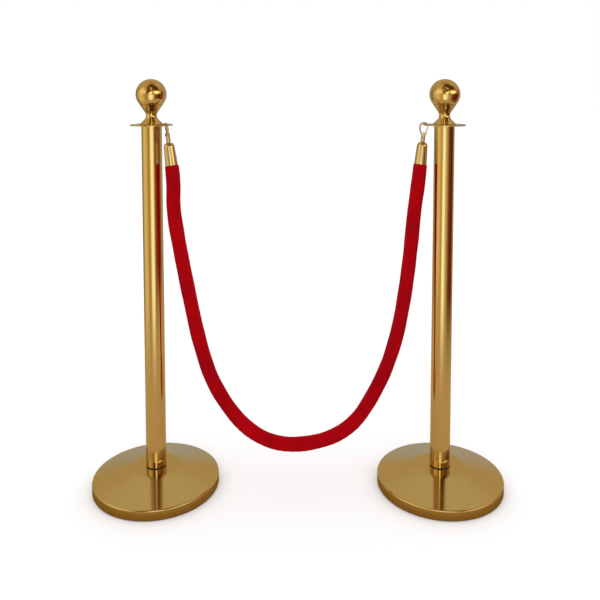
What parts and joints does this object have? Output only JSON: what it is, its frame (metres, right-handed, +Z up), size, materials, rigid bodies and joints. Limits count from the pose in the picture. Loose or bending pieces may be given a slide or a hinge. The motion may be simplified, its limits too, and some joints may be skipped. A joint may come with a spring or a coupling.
{
  "type": "rope stanchion pair",
  "caption": "Gold ball-top stanchion posts on round weighted bases, joined by a hanging red velvet rope with brass end caps and snap hooks.",
  "frame": {"origin": "on the floor, midway between the two posts", "axes": "+Z up, +X from the left post to the right post, -Y towards the front of the barrier"},
  "size_m": [1.052, 0.32, 1.0445],
  "materials": {
    "floor_rubber": "matt black moulded rubber",
    "cast_weight": "rough cast, black primed",
    "gold_cover": "mirror polished, titanium gold",
    "gold_tube": "mirror polished, titanium gold",
    "black_gasket": "black rubber washer",
    "gold_plate": "polished, titanium gold",
    "gold_finial": "mirror polished, titanium gold",
    "brass_ferrule": "polished brass plate",
    "brass_hook": "polished brass plate, worn",
    "brass_gate": "polished brass plate",
    "zinc_steel": "bright zinc plated",
    "plain_steel": "turned steel",
    "spring_steel": "drawn spring wire",
    "red_velvet": "cotton velvet, short pile",
    "cotton_core": "twisted cotton"
  },
  "bodies": {
    "posts": {"left_floor_ring": "floor_rubber", "left_base_weight": "cast_weight", "left_base_cover": "gold_cover", "left_base_washer": "zinc_steel", "left_base_bolt": "zinc_steel", "left_foot_gasket": "black_gasket", "left_foot_insert": "plain_steel", "left_post_tube": "gold_tube", "left_head_insert": "plain_steel", "left_hook_plate": "gold_plate", "right_floor_ring": "floor_rubber", "right_base_weight": "cast_weight", "right_base_cover": "gold_cover", "right_base_washer": "zinc_steel", "right_base_bolt": "zinc_steel", "right_foot_gasket": "black_gasket", "right_foot_insert": "plain_steel", "right_post_tube": "gold_tube", "right_head_insert": "plain_steel", "right_hook_plate": "gold_plate"},
    "left_finial": {"left_finial_neck": "gold_finial", "left_finial_ball": "gold_finial", "left_ball_boss": "plain_steel", "left_finial_stud": "zinc_steel"},
    "right_finial": {"right_finial_neck": "gold_finial", "right_finial_ball": "gold_finial", "right_ball_boss": "plain_steel", "right_finial_stud": "zinc_steel"},
    "rope": {"rope_sleeve": "red_velvet", "rope_core": "cotton_core", "left_ferrule": "brass_ferrule", "right_ferrule": "brass_ferrule", "left_ferrule_screw": "zinc_steel", "right_ferrule_screw": "zinc_steel"},
    "left_snap": {"left_hook": "brass_hook", "left_stop_collar": "plain_steel", "left_gate_pin": "plain_steel", "left_gate_spring": "spring_steel"},
    "left_gate_lever": {"left_gate": "brass_gate"},
    "right_snap": {"right_hook": "brass_hook", "right_stop_collar": "plain_steel", "right_gate_pin": "plain_steel", "right_gate_spring": "spring_steel"},
    "right_gate_lever": {"right_gate": "brass_gate"}
  },
  "joints": [
    {"name": "rope_swing", "type": "hinge", "parent": "posts", "child": "rope", "pos_m": [-0.32344, -0.02764, 0.9245], "axis": [0.9991, 0.0432, 0], "range_deg": [-15, 15]},
    {"name": "left_hook_swivel", "type": "hinge", "parent": "rope", "child": "left_snap", "pos_m": [-0.32344, -0.02764, 0.9245], "axis": [-0.1218, -0.0053, 0.9925], "range_deg": [-5, 10]},
    {"name": "left_gate_hinge", "type": "hinge", "parent": "left_snap", "child": "left_gate_lever", "pos_m": [-0.3235, -0.02298, 0.9084], "axis": [0.9076, 0.4041, 0.1135], "range_deg": [0, 30], "stiffness_Nm_per_rad": 0.02, "springref_deg": -11.46},
    {"name": "left_finial_turn", "type": "hinge", "parent": "posts", "child": "left_finial", "pos_m": [-0.366, 0, 0.93], "axis": [0, 0, 1], "continuous": true},
    {"name": "right_hook_swivel", "type": "hinge", "parent": "rope", "child": "right_snap", "pos_m": [0.31525, 0, 0.9245], "axis": [0.0905, 0.0039, 0.9959], "range_deg": [-10, 10]},
    {"name": "right_gate_hinge", "type": "hinge", "parent": "right_snap", "child": "right_gate_lever", "pos_m": [0.31878, -0.00006, 0.90811], "axis": [0, -1, 0.0039], "range_deg": [0, 30], "stiffness_Nm_per_rad": 0.02, "springref_deg": -11.46},
    {"name": "right_finial_turn", "type": "hinge", "parent": "posts", "child": "right_finial", "pos_m": [0.366, 0, 0.93], "axis": [0, 0, 1], "continuous": true}
  ]
}
